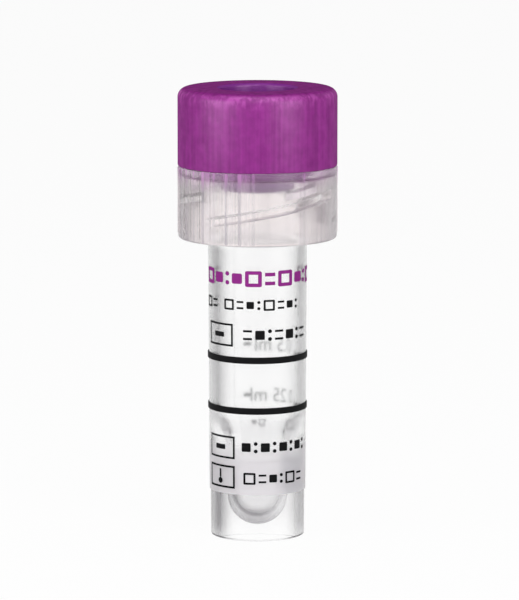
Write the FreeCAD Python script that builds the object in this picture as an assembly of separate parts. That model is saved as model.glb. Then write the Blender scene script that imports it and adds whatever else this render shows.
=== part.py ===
import FreeCAD, Part
import math
import os

# A small capillary blood collection tube with a screw cap, in millimetres.
# The frame: Z is the tube's axis and points up, the origin is the centre of the
# circle it stands on, and the front faces -Y. An angle "from the front" is
# positive towards +X, which is anticlockwise when seen from above.

# ---- driving dimensions ----------------------------------------------------

# tube: outside
TUBE_BASE_R = 4.69
TUBE_TOP_R = 4.86
NECK_R = 5.85
NECK_BOTTOM_Z = 29.90
NECK_TAPER = 0.12
TUBE_HEIGHT = 36.40

# tube: bore and round-bottomed chamber
BORE_RIM_R = 4.02
BORE_FOOT_R = 3.86
BORE_FOOT_Z = 12.90
MOUTH_FLARE = 0.14
MOUTH_FLARE_DEPTH = 0.50
SHOULDER_R = 2.75
SHOULDER_Z = 10.20
TIP_R = 2.00
TIP_Z = 2.36
TIP_FLOOR = 0.96
CHAMBER_WALL = 0.66

# tube: open skirt that the tube stands on
SKIRT_BASE_BORE_R = 3.72
SKIRT_TOP_BORE_R = 3.67
SKIRT_DEPTH = 8.00
SKIRT_TOP_CHAMBER_R = 3.34

# label and the two printed fill lines
LABEL_BOTTOM_Z = 4.72
LABEL_TOP_Z = 29.75
LABEL_THICKNESS = 0.09
GLUE_GAP = 0.02
LABEL_START = -97.0
LABEL_SPAN = 312.0
FILL_LINE_HEIGHT = 0.66
FILL_LINE_RELIEF = 0.10
FILL_LINE_START = -97.0
FILL_LINE_SPAN = 205.0
UPPER_FILL_Z = 18.37
LOWER_FILL_Z = 13.24

# screw thread between ring and neck: right-handed, with several starts
THREAD_LEAD = 7.80
THREAD_STARTS = 3
RIDGE_START = -45.0
RIDGE_SPAN = 120.0
RIDGE_FRONT_Z = 32.75
RIDGE_CREST_R = 6.05
RIDGE_ROOT_HEIGHT = 1.12
RIDGE_CREST_HEIGHT = 0.72
LUG_START = 26.0
LUG_SPAN = 38.0
LUG_CREST_R = 6.72
LUG_ROOT_HEIGHT = 1.05
LUG_CREST_HEIGHT = 0.65
THREAD_PLAY = 0.15
RUN_OUT = 8.0
SECTION_STEP = 12.0
ROOT_BITE = 0.25

# thread ring
RING_R = 7.95
RING_BORE_R = 6.95
RING_BOTTOM_Z = 30.18
RING_SHOULDER_Z = 37.45
RING_CEILING_Z = 36.62
RING_LIP_R = 5.10
RING_LIP_HEIGHT = 0.30
SPIGOT_R = 6.82
SPIGOT_BORE_R = 5.70
SPIGOT_TOP_Z = 41.20
SNAP_BEAD_Z = 39.60
SNAP_BEAD_RELIEF = 0.18
SNAP_BEAD_HEIGHT = 1.00
SPIGOT_NOTCH_DEPTH = 0.60

# grip ribs on the outside of the ring
RIB_PITCH = 10.0
RIBS_PER_SECTOR = 9
RIB_SECTOR_STARTS = (-87.0, 93.0)
RIB_RELIEF = 0.10
RIB_WIDTH = 0.34
RIB_END_GAP = 0.30

# cap cover
COVER_R = 8.00
COVER_BOTTOM_Z = 37.49
COVER_TOP_Z = 45.26
COVER_WALL = 1.12
COVER_ROOF = 1.40
COVER_TOP_ROUNDING = 0.93
WELL_R = 3.80
WELL_WALL = 1.20
WELL_FOOT_Z = 38.68
WELL_MOUTH_BEVEL = 0.25
WEB_COUNT = 6
WEB_THICKNESS = 0.80
WEB_BOTTOM_Z = 40.72

# stopper
PLUG_R = 3.97
PLUG_TIP_R = 3.55
PLUG_BOTTOM_Z = 35.10
PLUG_LEAD_IN = 0.60
PLUG_HOLLOW_R = 2.30
FACE_SEAL_R = 4.97
FLANGE_R = 5.62
SEPTUM_BOTTOM_Z = 37.20
SEPTUM_TOP_Z = 39.40
BOSS_TOP_Z = 40.60
DIMPLE_R = 2.55

# running clearance between neighbouring pieces
RUNNING_GAP = 0.05

# edges: usual bevel, flats in an eased corner, slope of a slightly drafted wall
EDGE = 0.15
EASED_FLATS = 4
SLIGHT_DRAFT = 0.02


# ---- drawing helpers -------------------------------------------------------
# An outline is drawn in the half plane y = 0, x > 0 as a ring of corners, and
# spun about Z. Each corner is (radius, height, treatment, size).

def sharp(r, z):
    """Corner that is left as it is."""
    return (r, z, "sharp", 0)


def bevel(r, z, size=EDGE):
    """Corner cut back by size along both of its sides."""
    return (r, z, "bevel", size)


def eased(r, z, radius):
    """Corner rounded to a radius, drawn as a few narrow flats."""
    return (r, z, "round", radius)


def round_end(r, z):
    """Corner beside the axis, rounded until it meets the axis as a dome."""
    return (r, z, "dome", None)


def on_plane(r, z):
    """Point at radius r and height z in the half plane that gets spun."""
    return FreeCAD.Vector(r, 0, z)


def straight(start, end):
    """Edge between two points; a wall with a slight draft is a spline line.

    Spun as a spline, such a wall is one smooth skin of plain upright strips.
    """
    line = Part.LineSegment(start, end)
    slope = abs(end.x - start.x) / max(abs(end.z - start.z), RUNNING_GAP)
    if 0 < slope < SLIGHT_DRAFT:
        return line.toBSpline().toShape()
    return line.toShape()


def chain(points):
    """Straight edges from each point to the next."""
    return [straight(a, b) for a, b in zip(points, points[1:])]


def cut_corner(here, back, ahead, treatment, size):
    """Start and end of a corner's cut, and the edges that join them."""
    to_back = (back - here).normalize()
    to_ahead = (ahead - here).normalize()
    half_turn = (math.pi - to_back.getAngle(to_ahead)) / 2
    if treatment == "sharp":
        return here, here, []
    if treatment == "bevel":
        start = here + to_back * size
        end = here + to_ahead * size
        return start, end, chain([start, end])
    if treatment == "dome":
        reach = min(here.distanceToPoint(back), here.distanceToPoint(ahead))
        size = reach / math.tan(half_turn)
    setback = size * math.tan(half_turn)
    start = here + to_back * setback
    end = here + to_ahead * setback
    middle = here + (to_back + to_ahead).normalize() * (size / math.cos(half_turn) - size)
    arc = Part.Arc(start, middle, end).toShape()
    return start, end, chain(arc.discretize(EASED_FLATS + 1))


def outline(corners):
    """Closed wire through a ring of corners, each with its own treatment."""
    points = [on_plane(r, z) for r, z, treatment, size in corners]
    count = len(corners)
    cuts = []
    for i, (r, z, treatment, size) in enumerate(corners):
        cuts.append(cut_corner(points[i], points[i - 1], points[(i + 1) % count], treatment, size))
    edges = []
    for i, (start, end, cut) in enumerate(cuts):
        edges += cut
        following = cuts[(i + 1) % count][0]
        if end.distanceToPoint(following) > 1e-6:
            edges.append(straight(end, following))
    return Part.Wire(edges)


def spin(corners, start=None, span=360.0):
    """Solid of revolution about Z, or a sector of one from a front angle."""
    face = Part.Face(outline(corners))
    if start is not None:
        face.rotate(FreeCAD.Vector(0, 0, 0), FreeCAD.Vector(0, 0, 1), start - 90.0)
    return face.revolve(FreeCAD.Vector(0, 0, 0), FreeCAD.Vector(0, 0, 1), span)


def turned(shape, angle):
    """Copy of a shape turned about Z by an angle in degrees."""
    copy = shape.copy()
    copy.rotate(FreeCAD.Vector(0, 0, 0), FreeCAD.Vector(0, 0, 1), angle)
    return copy


def radial_slab(front_angle, inner_r, outer_r, width, bottom_z, top_z):
    """Upright box that reaches from one radius to another at a front angle."""
    corner = FreeCAD.Vector(inner_r, -width / 2, bottom_z)
    slab = Part.makeBox(outer_r - inner_r, width, top_z - bottom_z, corner)
    return turned(slab, front_angle - 90.0)


def tube_outer_r(z):
    """Outside radius of the drafted tube at height z."""
    return TUBE_BASE_R + (TUBE_TOP_R - TUBE_BASE_R) * z / NECK_BOTTOM_Z


def bore_r(z):
    """Radius of the drafted bore at height z, above the chamber's shoulder."""
    return BORE_FOOT_R + (BORE_RIM_R - BORE_FOOT_R) * (z - BORE_FOOT_Z) / (TUBE_HEIGHT - BORE_FOOT_Z)


# ---- helical thread --------------------------------------------------------

def helix_rise(front_angle):
    """Height that the thread has climbed between the front and an angle."""
    return THREAD_LEAD * front_angle / 360.0


def helical_flight(section, start, span):
    """Solid swept along the thread's helix; section(fade) gives its corners.

    fade falls from 1 to 0 over the run-out at either end, where the flight
    sinks into the wall that carries it.
    """
    steps = round(span / SECTION_STEP)
    wires = []
    for i in range(steps + 1):
        along = span * i / steps
        angle = start + along
        fade = min(1.0, along / RUN_OUT, (span - along) / RUN_OUT)
        corners = section(fade)
        lift = helix_rise(angle)
        points = [on_plane(r, z + lift) for r, z in corners]
        wire = Part.makePolygon(points + points[:1])
        wires.append(turned(wire, angle - 90.0))
    return Part.makeLoft(wires, True, False)


def ridge_section(fade):
    """Ring's ridge: flat sharp-edged underside, sloping upper flank."""
    root_r = RING_BORE_R + ROOT_BITE
    crest_r = RIDGE_CREST_R + (RING_BORE_R + ROOT_BITE / 2 - RIDGE_CREST_R) * (1 - fade)
    crest_top = RIDGE_FRONT_Z + RIDGE_CREST_HEIGHT
    root_top = RIDGE_FRONT_Z + RIDGE_ROOT_HEIGHT
    return [(root_r, RIDGE_FRONT_Z), (crest_r, RIDGE_FRONT_Z), (crest_r, crest_top), (root_r, root_top)]


def lug_section(fade):
    """Neck's lug: it hangs just above the ridge that pulls up against it."""
    root_r = NECK_R - ROOT_BITE
    crest_r = LUG_CREST_R - (LUG_CREST_R - NECK_R + ROOT_BITE / 2) * (1 - fade)
    crest_bottom = RIDGE_FRONT_Z + RIDGE_ROOT_HEIGHT + THREAD_PLAY
    crest_top = crest_bottom + LUG_CREST_HEIGHT
    root_bottom = crest_bottom - (LUG_ROOT_HEIGHT - LUG_CREST_HEIGHT) / 2
    root_top = root_bottom + LUG_ROOT_HEIGHT
    return [(root_r, root_bottom), (crest_r, crest_bottom), (crest_r, crest_top), (root_r, root_top)]


def all_starts(flight):
    """The same flight repeated for every start of the thread."""
    return [turned(flight, 360.0 * k / THREAD_STARTS) for k in range(THREAD_STARTS)]


# ---- pieces ----------------------------------------------------------------

def make_tube():
    """One moulding: skirt, hung chamber, bore and a neck with helical lugs."""
    chamber_floor_z = TIP_Z - TIP_FLOOR
    body = spin([
        bevel(SKIRT_BASE_BORE_R, 0),
        bevel(TUBE_BASE_R, 0),
        sharp(TUBE_TOP_R, NECK_BOTTOM_Z),
        sharp(NECK_R, NECK_BOTTOM_Z + NECK_TAPER),
        sharp(NECK_R, TUBE_HEIGHT),
        sharp(BORE_RIM_R + MOUTH_FLARE, TUBE_HEIGHT),
        sharp(bore_r(TUBE_HEIGHT - MOUTH_FLARE_DEPTH), TUBE_HEIGHT - MOUTH_FLARE_DEPTH),
        sharp(BORE_FOOT_R, BORE_FOOT_Z),
        sharp(SHOULDER_R, SHOULDER_Z),
        round_end(TIP_R, TIP_Z),
        sharp(0, TIP_Z),
        sharp(0, chamber_floor_z),
        round_end(TIP_R + CHAMBER_WALL, chamber_floor_z),
        sharp(SKIRT_TOP_CHAMBER_R, SKIRT_DEPTH),
        sharp(SKIRT_TOP_BORE_R, SKIRT_DEPTH),
    ])
    lugs = all_starts(helical_flight(lug_section, LUG_START, LUG_SPAN))
    return body.fuse(lugs)


def make_label():
    """Thin film glued round the tube, with a gap at the back left."""
    inner_bottom = tube_outer_r(LABEL_BOTTOM_Z) + GLUE_GAP
    inner_top = tube_outer_r(LABEL_TOP_Z) + GLUE_GAP
    return spin([
        sharp(inner_bottom, LABEL_BOTTOM_Z),
        sharp(inner_bottom + LABEL_THICKNESS, LABEL_BOTTOM_Z),
        sharp(inner_top + LABEL_THICKNESS, LABEL_TOP_Z),
        sharp(inner_top, LABEL_TOP_Z),
    ], LABEL_START, LABEL_SPAN)


def make_fill_line(centre_z):
    """Thick arc of black ink on the label that marks a fill volume."""
    bottom_z = centre_z - FILL_LINE_HEIGHT / 2
    top_z = centre_z + FILL_LINE_HEIGHT / 2
    film = GLUE_GAP + LABEL_THICKNESS
    return spin([
        sharp(tube_outer_r(bottom_z) + film, bottom_z),
        sharp(tube_outer_r(bottom_z) + film + FILL_LINE_RELIEF, bottom_z),
        sharp(tube_outer_r(top_z) + film + FILL_LINE_RELIEF, top_z),
        sharp(tube_outer_r(top_z) + film, top_z),
    ], FILL_LINE_START, FILL_LINE_SPAN)


def make_grip_ribs():
    """Fine upright ribs in the ring's two grip sectors."""
    bottom_z = RING_BOTTOM_Z + RIB_END_GAP
    top_z = RING_SHOULDER_Z - RIB_END_GAP / 2
    band = spin([
        sharp(RING_R - ROOT_BITE, bottom_z),
        sharp(RING_R + RIB_RELIEF, bottom_z),
        sharp(RING_R + RIB_RELIEF, top_z),
        sharp(RING_R - ROOT_BITE, top_z),
    ])
    slabs = []
    for sector_start in RIB_SECTOR_STARTS:
        for k in range(RIBS_PER_SECTOR):
            angle = sector_start + RIB_PITCH * k
            slabs.append(radial_slab(angle, RING_R - ROOT_BITE, COVER_R + 1, RIB_WIDTH, bottom_z, top_z))
    return band.common(Part.makeCompound(slabs))


def web_angles():
    """Front angles of the cover's webs and of the ring's notches for them."""
    return [360.0 * k / WEB_COUNT for k in range(WEB_COUNT)]


def make_thread_ring():
    """Clear ring: threaded skirt, inner ceiling and lip, spigot with a bead."""
    bead_r = SPIGOT_R + SNAP_BEAD_RELIEF
    bead_half = SNAP_BEAD_HEIGHT / 2
    lip_top_z = RING_CEILING_Z + RING_LIP_HEIGHT
    body = spin([
        sharp(RING_BORE_R, RING_BOTTOM_Z),
        bevel(RING_R, RING_BOTTOM_Z, 2 * EDGE),
        sharp(RING_R, RING_SHOULDER_Z),
        sharp(SPIGOT_R, RING_SHOULDER_Z),
        sharp(SPIGOT_R, SNAP_BEAD_Z - bead_half),
        sharp(bead_r, SNAP_BEAD_Z),
        sharp(SPIGOT_R, SNAP_BEAD_Z + bead_half),
        sharp(SPIGOT_R, SPIGOT_TOP_Z),
        sharp(SPIGOT_BORE_R, SPIGOT_TOP_Z),
        sharp(SPIGOT_BORE_R, lip_top_z),
        sharp(RING_LIP_R, lip_top_z),
        sharp(RING_LIP_R, RING_CEILING_Z),
        sharp(RING_BORE_R, RING_CEILING_Z),
    ])
    ridges = all_starts(helical_flight(ridge_section, RIDGE_START, RIDGE_SPAN))
    notch_width = WEB_THICKNESS + 2 * RUNNING_GAP
    notch_bottom_z = SPIGOT_TOP_Z - SPIGOT_NOTCH_DEPTH
    notches = []
    for angle in web_angles():
        notch = radial_slab(angle, RING_LIP_R, COVER_R, notch_width, notch_bottom_z, SPIGOT_TOP_Z + 1)
        notches.append(notch)
    return body.fuse(ridges + make_grip_ribs().Solids).cut(notches)


def make_cap_cover():
    """Purple cover: rounded shell, needle well and webs that drive the ring."""
    inner_r = COVER_R - COVER_WALL
    groove_r = inner_r + SNAP_BEAD_RELIEF
    groove_half = SNAP_BEAD_HEIGHT / 2 + RUNNING_GAP
    roof_z = COVER_TOP_Z - COVER_ROOF
    well_outer_r = WELL_R + WELL_WALL
    shell = spin([
        sharp(inner_r, COVER_BOTTOM_Z),
        bevel(COVER_R, COVER_BOTTOM_Z, EDGE / 2),
        eased(COVER_R, COVER_TOP_Z, COVER_TOP_ROUNDING),
        bevel(WELL_R, COVER_TOP_Z, WELL_MOUTH_BEVEL),
        sharp(WELL_R, WELL_FOOT_Z),
        sharp(well_outer_r, WELL_FOOT_Z),
        sharp(well_outer_r, roof_z),
        sharp(inner_r, roof_z),
        sharp(inner_r, SNAP_BEAD_Z + groove_half),
        sharp(groove_r, SNAP_BEAD_Z),
        sharp(inner_r, SNAP_BEAD_Z - groove_half),
    ])
    inner_end = well_outer_r - ROOT_BITE
    outer_end = inner_r + ROOT_BITE
    webs = []
    for angle in web_angles():
        web = radial_slab(angle, inner_end, outer_end, WEB_THICKNESS, WEB_BOTTOM_Z, roof_z + ROOT_BITE)
        webs.append(web)
    return shell.fuse(webs)


def make_stopper():
    """Soft plug with a face seal, a clamped flange and a thin septum."""
    face_seal_z = TUBE_HEIGHT + RUNNING_GAP
    flange_z = RING_CEILING_Z + RING_LIP_HEIGHT + RUNNING_GAP
    flange_top_z = WELL_FOOT_Z - RUNNING_GAP
    boss_r = WELL_R - 2 * RUNNING_GAP
    return spin([
        sharp(0, SEPTUM_BOTTOM_Z),
        sharp(PLUG_HOLLOW_R, SEPTUM_BOTTOM_Z),
        sharp(PLUG_HOLLOW_R, PLUG_BOTTOM_Z),
        sharp(PLUG_TIP_R, PLUG_BOTTOM_Z),
        sharp(PLUG_R, PLUG_BOTTOM_Z + PLUG_LEAD_IN),
        sharp(PLUG_R, face_seal_z),
        sharp(FACE_SEAL_R, face_seal_z),
        sharp(FACE_SEAL_R, flange_z),
        sharp(FLANGE_R, flange_z),
        sharp(FLANGE_R, flange_top_z),
        sharp(boss_r, flange_top_z),
        sharp(boss_r, BOSS_TOP_Z),
        bevel(DIMPLE_R, BOSS_TOP_Z),
        sharp(DIMPLE_R, SEPTUM_TOP_Z),
        sharp(0, SEPTUM_TOP_Z),
    ])


# ---- export ----------------------------------------------------------------

def chamber_volume_ml(fill_z):
    """Volume of the chamber below a fill line."""
    liquid = spin([
        sharp(bore_r(fill_z), fill_z),
        sharp(BORE_FOOT_R, BORE_FOOT_Z),
        sharp(SHOULDER_R, SHOULDER_Z),
        round_end(TIP_R, TIP_Z),
        sharp(0, TIP_Z),
        sharp(0, fill_z),
    ])
    return liquid.Volume / 1000.0


def main():
    pieces = {
        "tube": make_tube(),
        "label": make_label(),
        "fill_line_upper": make_fill_line(UPPER_FILL_Z),
        "fill_line_lower": make_fill_line(LOWER_FILL_Z),
        "thread_ring": make_thread_ring(),
        "cap_cover": make_cap_cover(),
        "stopper": make_stopper(),
    }
    os.makedirs("parts", exist_ok=True)
    for name, shape in pieces.items():
        shape.exportStep(f"parts/{name}.step")
        valid = shape.isValid()
        print(f"{name}: {len(shape.Solids)} solid, {shape.Volume:.1f} mm3, valid {valid}")
    for fill_z in (LOWER_FILL_Z, UPPER_FILL_Z):
        print(f"volume below {fill_z} mm: {chamber_volume_ml(fill_z):.3f} ml")


main()
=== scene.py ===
# %% [markdown]
# # A small blood collection tube with a screw cap
# This lesson dresses a finished CAD model. The CAD pieces already have their real
# size and place, so every piece here is measured from them. Clear plastic shows its
# insides, so each moulding is modelled again as one smooth closed body, with the
# true wall, and given a finish that bends light.

import math
from itertools import cycle

import bmesh
import bpy
from mathutils import Matrix, Vector


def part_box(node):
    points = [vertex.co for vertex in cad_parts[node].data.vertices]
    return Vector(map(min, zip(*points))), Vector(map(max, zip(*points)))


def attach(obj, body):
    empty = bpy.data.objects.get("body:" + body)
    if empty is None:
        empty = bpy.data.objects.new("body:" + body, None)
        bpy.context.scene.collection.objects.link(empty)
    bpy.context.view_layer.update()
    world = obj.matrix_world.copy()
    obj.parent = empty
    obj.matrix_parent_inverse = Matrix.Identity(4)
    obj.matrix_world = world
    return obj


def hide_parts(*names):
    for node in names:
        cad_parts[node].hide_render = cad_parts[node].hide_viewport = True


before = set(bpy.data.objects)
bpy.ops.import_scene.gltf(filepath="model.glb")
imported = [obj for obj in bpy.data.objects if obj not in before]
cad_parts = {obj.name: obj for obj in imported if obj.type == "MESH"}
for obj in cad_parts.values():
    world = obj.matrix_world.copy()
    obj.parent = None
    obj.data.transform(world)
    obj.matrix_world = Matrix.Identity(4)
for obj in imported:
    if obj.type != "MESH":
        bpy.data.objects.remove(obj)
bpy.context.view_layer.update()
print("nodes:", sorted(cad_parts))

# %% [markdown]
# ## Measures
# The drawing is in millimetres and Blender's unit is the metre, so one helper turns
# a drawing's numbers into metres. Heights and radii that a node's box gives are read
# from it. The rest are the few that a box can't give, such as a bore.

# %% Measures shared by several pieces
MM = 0.001


def mm(value):
    """Millimetres as Blender's metres."""
    return value * MM


def top_of(node):
    """Highest point of a node, in millimetres."""
    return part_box(node)[1].z / MM


def bottom_of(node):
    """Lowest point of a node, in millimetres."""
    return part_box(node)[0].z / MM


def radius_of(node):
    """Half the width of a node along X, in millimetres."""
    low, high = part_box(node)
    return (high.x - low.x) / 2 / MM


TUBE_TOP = top_of("tube")
COVER_TOP = top_of("cap_cover")
COVER_BOTTOM = bottom_of("cap_cover")
COVER_R = radius_of("cap_cover")
RING_BOTTOM = bottom_of("thread_ring")
LABEL_BOTTOM = bottom_of("label")
LABEL_TOP = top_of("label")
TUBE_FOOT_R = 4.69
TUBE_TOP_R = 4.86
NECK_BOTTOM = 29.90
NECK_R = 5.85
RING_R = 7.95
RING_BORE_R = 6.95


def tube_r(z):
    """Outside radius of the tube's slight taper at height z, in millimetres."""
    return TUBE_FOOT_R + (TUBE_TOP_R - TUBE_FOOT_R) * z / NECK_BOTTOM


print("tube up to", round(TUBE_TOP, 2), "ring from", round(RING_BOTTOM, 2))
print("cover from", round(COVER_BOTTOM, 2), "to", round(COVER_TOP, 2))

# %% [markdown]
# ## Modelling helpers
# Everything here was turned in a round mould, so one way of modelling serves most
# pieces. A circle is added at the first corner of the section. It is extruded and
# scaled from corner to corner, as a potter's ring would be pulled up a wall. Chosen
# rings are then bevelled, because moulded corners are never sharp.


# %% Turn a section into a closed body
DOUBLES = 0.0005


def only(piece):
    """Select one object alone and make it active."""
    bpy.ops.object.select_all(action="DESELECT")
    piece.select_set(True)
    bpy.context.view_layer.objects.active = piece


def face_outwards(piece):
    """Merge doubles and point every face of a closed body away from its inside."""
    only(piece)
    bpy.ops.object.mode_set(mode="EDIT")
    bpy.ops.mesh.select_all(action="SELECT")
    bpy.ops.mesh.remove_doubles(threshold=mm(DOUBLES))
    bpy.ops.mesh.normals_make_consistent(inside=False)
    if bmesh.from_edit_mesh(piece.data).calc_volume(signed=True) < 0:
        bpy.ops.mesh.flip_normals()
    bpy.ops.object.mode_set(mode="OBJECT")


def pull_ring(start, end):
    """Extrude the selected ring from one corner of a section to the next."""
    (r0, z0), (r1, z1) = start, end
    bpy.ops.mesh.extrude_region_move(TRANSFORM_OT_translate={"value": (0, 0, mm(z1 - z0))})
    if r1 == 0:
        bpy.ops.mesh.merge(type="CENTER")
    else:
        bpy.ops.transform.resize(value=(r1 / r0, r1 / r0, 1), center_override=(0, 0, mm(z1)))


def select_open_edges():
    """In edit mode, select the edges that have a face on one side only."""
    bpy.ops.mesh.select_mode(type="EDGE")
    bpy.ops.mesh.select_all(action="DESELECT")
    bpy.ops.mesh.select_non_manifold(
        extend=False,
        use_wire=False,
        use_multi_face=False,
        use_non_contiguous=False,
        use_verts=False,
    )


def turn(name, section, sides=256):
    """Body of revolution whose section is a list of (radius, height) corners."""
    starts_on_axis = section[0][0] == 0
    ends_on_axis = section[-1][0] == 0
    walk = section[1:] if starts_on_axis else section
    first_r, first_z = walk[0]
    bpy.ops.object.select_all(action="DESELECT")
    bpy.ops.mesh.primitive_circle_add(
        vertices=sides, radius=mm(first_r), location=(0, 0, mm(first_z))
    )
    piece = bpy.context.object
    piece.name = name
    bpy.ops.object.transform_apply(location=True, rotation=True, scale=True)
    bpy.ops.object.mode_set(mode="EDIT")
    bpy.ops.mesh.select_mode(type="VERT")
    bpy.ops.mesh.select_all(action="SELECT")
    for start, end in zip(walk, walk[1:]):
        pull_ring(start, end)
    if starts_on_axis:
        select_open_edges()
        pull_ring(section[1], section[0])
    elif not ends_on_axis:
        select_open_edges()
        bpy.ops.mesh.bridge_edge_loops()
    bpy.ops.object.mode_set(mode="OBJECT")
    face_outwards(piece)
    return piece


print("a section is a list of (radius, height) corners in mm")

# %% [markdown]
# ## Rounding, joining and shading
# A bevel on a ring gives a moulded corner. The ring is found by its radius and height,
# not by its number in the mesh, so a change to the section leaves it right. Parts that
# are one moulding are fused by a Boolean, since light shows every wall left inside a
# clear piece. Smooth shading by angle keeps the few crisp edges crisp.

# %% Round a ring, and shade a piece
SLIVER = 0.001


def select_edges(piece, wanted):
    """In edit mode, select the edges whose two ends both pass a test."""
    bpy.ops.mesh.select_mode(type="EDGE")
    bpy.ops.mesh.select_all(action="DESELECT")
    mesh = bmesh.from_edit_mesh(piece.data)
    for edge in mesh.edges:
        edge.select = all(wanted(v.co) for v in edge.verts)
    bmesh.update_edit_mesh(piece.data)


def on_ring(r, z, reach=0.01):
    """Test for a point that lies on a ring of radius r at height z, in millimetres."""
    return lambda co: (
        abs(math.hypot(co.x, co.y) - mm(r)) < mm(reach) and abs(co.z - mm(z)) < mm(reach)
    )


def soften(piece, rings):
    """Bevel rings given as (radius, height, width, segments) in millimetres."""
    only(piece)
    bpy.ops.object.mode_set(mode="EDIT")
    for r, z, width, segments in rings:
        select_edges(piece, on_ring(r, z))
        bpy.ops.mesh.bevel(offset=mm(width), segments=segments, affect="EDGES", clamp_overlap=True)
    bpy.ops.object.mode_set(mode="OBJECT")


def smooth(piece, degrees=30):
    """Smooth shading, with edges sharper than an angle left crisp."""
    only(piece)
    bpy.ops.object.shade_smooth_by_angle(angle=math.radians(degrees))


def join_solid(body, additions):
    """Fuse closed bodies into one by Booleans, then clear the slivers that these leave."""
    for addition in additions:
        only(body)
        bpy.ops.object.modifier_add(type="BOOLEAN")
        union = body.modifiers[-1]
        union.operation = "UNION"
        union.solver = "EXACT"
        union.object = addition
        bpy.ops.object.modifier_apply(modifier=union.name)
        bpy.data.objects.remove(addition)
    bpy.ops.object.mode_set(mode="EDIT")
    bpy.ops.mesh.select_all(action="SELECT")
    bpy.ops.mesh.remove_doubles(threshold=mm(SLIVER))
    bpy.ops.mesh.dissolve_degenerate(threshold=mm(SLIVER))
    bpy.ops.object.mode_set(mode="OBJECT")


def round_end(tip_r, tip_z, wall_r, wall_z, steps=12):
    """Corners of a round bottom, from its tip on the axis out to a slanted wall."""
    lean = math.atan2(wall_r - tip_r, wall_z - tip_z)
    swing = math.pi / 2 - lean
    radius = tip_r / math.tan(swing / 2)
    centre_z = tip_z + radius
    angles = [swing * i / steps for i in range(1, steps + 1)]
    return [(0, tip_z)] + [(radius * math.sin(a), centre_z - radius * math.cos(a)) for a in angles]


print("rounding, joining and shading ready")

# %% [markdown]
# ## The thread's flights
# A thread is a small section that climbs while it turns. It could be spun and
# stretched by hand, but Blender's Screw modifier does exactly this and keeps the
# pitch. The two ends are then sunk into the wall, as a mould's cutter runs out.

# %% Helical flights
THREAD_LEAD = 7.80
THREAD_STARTS = 3
RUN_OUT = 9.0
FLIGHT_STEP = 2


def flight(name, section, start, span, sunk_r):
    """Flight whose four section corners climb from a front angle over a span."""
    bpy.ops.object.select_all(action="DESELECT")
    bpy.ops.mesh.primitive_plane_add(size=1, location=(0, 0, 0))
    piece = bpy.context.object
    piece.name = name
    bottom_in, bottom_out, top_out, top_in = section
    for vertex, (r, z) in zip(piece.data.vertices, (bottom_in, bottom_out, top_in, top_out)):
        vertex.co = (mm(r), 0, mm(z))
    bpy.ops.object.modifier_add(type="SCREW")
    screw = piece.modifiers[-1]
    screw.angle = math.radians(span)
    screw.screw_offset = mm(THREAD_LEAD * span / 360)
    screw.steps = round(span / FLIGHT_STEP)
    screw.render_steps = screw.steps
    bpy.ops.object.modifier_apply(modifier=screw.name)
    for vertex in piece.data.vertices:
        along = math.degrees(math.atan2(vertex.co.y, vertex.co.x)) % 360
        fade = max(0.0, min(1.0, along / RUN_OUT, (span - along) / RUN_OUT))
        r = math.hypot(vertex.co.x, vertex.co.y)
        eased_r = mm(sunk_r) + (r - mm(sunk_r)) * math.sin(fade * math.pi / 2)
        vertex.co.x *= eased_r / r
        vertex.co.y *= eased_r / r
    bpy.ops.object.mode_set(mode="EDIT")
    select_open_edges()
    bpy.ops.mesh.edge_face_add()
    bpy.ops.mesh.select_all(action="SELECT")
    bpy.ops.transform.rotate(
        value=math.radians(90 - start), orient_axis="Z", center_override=(0, 0, 0)
    )
    bpy.ops.transform.translate(value=(0, 0, mm(THREAD_LEAD * start / 360)))
    bpy.ops.object.mode_set(mode="OBJECT")
    face_outwards(piece)
    return piece


def flights(name, section, start, span, sunk_r):
    """The same flight once for each start of the thread."""
    made = []
    for k in range(THREAD_STARTS):
        piece = flight(name + str(k), section, start, span, sunk_r)
        piece.data.transform(Matrix.Rotation(math.radians(360 * k / THREAD_STARTS), 4, "Z"))
        made.append(piece)
    return made


print("each of", THREAD_STARTS, "flights climbs", THREAD_LEAD, "mm in a full turn")

# %% [markdown]
# ## Shader sums as Python
# A finish often needs a little arithmetic. Its nodes could be placed and linked one
# by one, but a formula is easier to read. This small class wraps a shader number so
# that Python's own signs add the Math nodes, and one method adds any other node.


# %% Shader numbers and finishes
class Number:
    """A shader number: + - * / and ** on it add Math nodes to its material."""

    def __init__(self, finish, socket):
        self.finish = finish
        self.socket = socket

    def sum(self, operation, first, second=None):
        inputs = {0: first} if second is None else {0: first, 1: second}
        return self.finish.node("Math", {"operation": operation}, inputs)

    def __add__(self, other):
        return self.sum("ADD", self, other)

    def __radd__(self, other):
        return self.sum("ADD", other, self)

    def __sub__(self, other):
        return self.sum("SUBTRACT", self, other)

    def __rsub__(self, other):
        return self.sum("SUBTRACT", other, self)

    def __mul__(self, other):
        return self.sum("MULTIPLY", self, other)

    def __rmul__(self, other):
        return self.sum("MULTIPLY", other, self)

    def __truediv__(self, other):
        return self.sum("DIVIDE", self, other)

    def __rtruediv__(self, other):
        return self.sum("DIVIDE", other, self)

    def __pow__(self, other):
        return self.sum("POWER", self, other)

    def at_most(self, other):
        return self.sum("MINIMUM", self, other)

    def at_least(self, other):
        return self.sum("MAXIMUM", self, other)


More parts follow.
